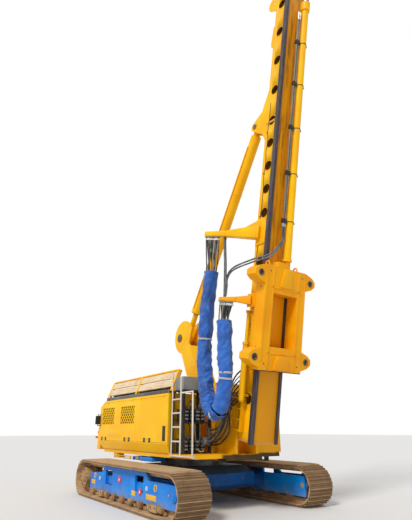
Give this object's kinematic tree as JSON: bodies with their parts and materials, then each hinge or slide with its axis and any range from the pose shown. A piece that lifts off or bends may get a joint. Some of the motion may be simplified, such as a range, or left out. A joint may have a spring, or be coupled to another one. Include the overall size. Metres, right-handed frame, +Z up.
{
  "type": "rotary piling rig",
  "caption": "Tracked rotary piling rig with a leaning box leader, a tool sledge on guide rails, one backstay cylinder, a hose loop in cloth sleeves, an engine housing and a cab.",
  "frame": {"origin": "on the ground under the middle of the machine's box, between the tracks", "axes": "+Z up, -Y to the machine's front where the leader stands, +X to the machine's left"},
  "size_m": [4.46, 10.6606, 18.3592],
  "materials": {
    "machine_yellow": "satin",
    "shade_orange": "satin",
    "frame_blue": "satin",
    "muddy_track": "rough",
    "dark_rail": "rough",
    "greased_steel": "satin",
    "chrome_rod": "polished",
    "ladder_white": "satin",
    "weathered_wood": "rough",
    "box_grey": "satin",
    "engine_grey": "rough",
    "cab_glass": "clear",
    "seat_fabric": "matte",
    "blue_sleeve": "matte",
    "black_hose": "satin"
  },
  "bodies": {
    "undercarriage": {"car_body": "frame_blue", "track_frame_right": "frame_blue", "track_frame_left": "frame_blue", "track_right": "muddy_track", "track_left": "muddy_track", "drive_sprockets": "muddy_track", "front_idlers": "muddy_track", "bottom_rollers": "muddy_track", "slew_ring": "dark_rail"},
    "upper_carriage": {"deck_frame": "machine_yellow", "nose_frame": "machine_yellow", "stay_boom": "machine_yellow", "engine_housing": "machine_yellow", "engine_block": "engine_grey", "cooler_pack": "engine_grey", "counterweight": "machine_yellow", "cab_shell": "machine_yellow", "cab_glass": "cab_glass", "cab_seat": "seat_fabric", "ladder": "ladder_white", "plank_rack": "machine_yellow", "rack_planks": "weathered_wood", "valve_bank": "machine_yellow", "deck_box": "box_grey", "winch_frame": "machine_yellow"},
    "leader": {"leader_box": "machine_yellow", "guide_rails": "dark_rail", "leader_foot": "shade_orange", "stay_bracket": "machine_yellow", "leader_head": "machine_yellow", "upper_hose_arm": "machine_yellow", "tension_cylinder": "machine_yellow", "feed_rod": "chrome_rod", "hose_sleeve": "blue_sleeve", "loop_hoses": "black_hose", "supply_hoses": "black_hose"},
    "sledge": {"sledge_frame": "machine_yellow", "sledge_hose_arm": "machine_yellow", "feed_barrel": "machine_yellow", "feed_pipes": "greased_steel", "sledge_hoses": "black_hose"},
    "stay_barrel": {"stay_barrel": "machine_yellow"},
    "stay_rod": {"stay_rod": "chrome_rod"},
    "cab_door": {"cab_door": "machine_yellow"},
    "right_rear_lid": {"lid_right_rear": "machine_yellow"},
    "right_front_lid": {"lid_right_front": "machine_yellow"},
    "left_lid": {"lid_left": "machine_yellow"},
    "winch_drum": {"winch_drum": "dark_rail"},
    "front_sheave": {"head_sheave_front": "dark_rail"},
    "rear_sheave": {"head_sheave_rear": "dark_rail"}
  },
  "joints": [
    {"name": "slew", "type": "hinge", "parent": "undercarriage", "child": "upper_carriage", "pos_m": [0, 1.41027, 1.04], "axis": [0, 0, 1], "continuous": true},
    {"name": "leader_tilt", "type": "hinge", "parent": "upper_carriage", "child": "leader", "pos_m": [0, -1.03806, 2.44872], "axis": [1, 0, 0], "range_deg": [-11.3, 1]},
    {"name": "stay_swing", "type": "hinge", "parent": "leader", "child": "stay_barrel", "pos_m": [0, -2.03793, 10.00427], "axis": [1, 0, 0], "range_deg": [-0.7, 0.1]},
    {"name": "stay_stroke", "type": "slide", "parent": "stay_barrel", "child": "stay_rod", "axis": [0, 0.561, -0.8278], "range_m": [-0.68, 0.07]},
    {"name": "sledge_feed", "type": "slide", "parent": "leader", "child": "sledge", "axis": [0, -0.1959, 0.9806], "range_m": [0, 3.9]},
    {"name": "cab_door_hinge", "type": "hinge", "parent": "upper_carriage", "child": "cab_door", "pos_m": [1.483, 0.69027, 2.0355], "axis": [0, 0, 1], "range_deg": [0, 110]},
    {"name": "right_rear_lid_hinge", "type": "hinge", "parent": "upper_carriage", "child": "right_rear_lid", "pos_m": [-1.513, 3.37527, 2.56], "axis": [0, 1, 0], "range_deg": [0, 75]},
    {"name": "right_front_lid_hinge", "type": "hinge", "parent": "upper_carriage", "child": "right_front_lid", "pos_m": [-1.513, 1.14027, 2.56], "axis": [0, 1, 0], "range_deg": [0, 75]},
    {"name": "left_lid_hinge", "type": "hinge", "parent": "upper_carriage", "child": "left_lid", "pos_m": [1.513, 2.96028, 2.56], "axis": [0, -1, 0], "range_deg": [0, 75]},
    {"name": "winch_turn", "type": "hinge", "parent": "upper_carriage", "child": "winch_drum", "pos_m": [0, 1.47027, 1.5505], "axis": [1, 0, 0], "continuous": true},
    {"name": "front_sheave_turn", "type": "hinge", "parent": "leader", "child": "front_sheave", "pos_m": [0, -5.08028, 17.93181], "axis": [1, 0, 0], "continuous": true},
    {"name": "rear_sheave_turn", "type": "hinge", "parent": "leader", "child": "rear_sheave", "pos_m": [0, -4.25656, 18.09641], "axis": [1, 0, 0], "continuous": true}
  ],
  "couplings": [
    {"joint": "stay_swing", "follows": "leader_tilt", "ratio": 0.052},
    {"joint": "stay_stroke", "follows": "leader_tilt", "m_per_rad": 3.3948}
  ]
}
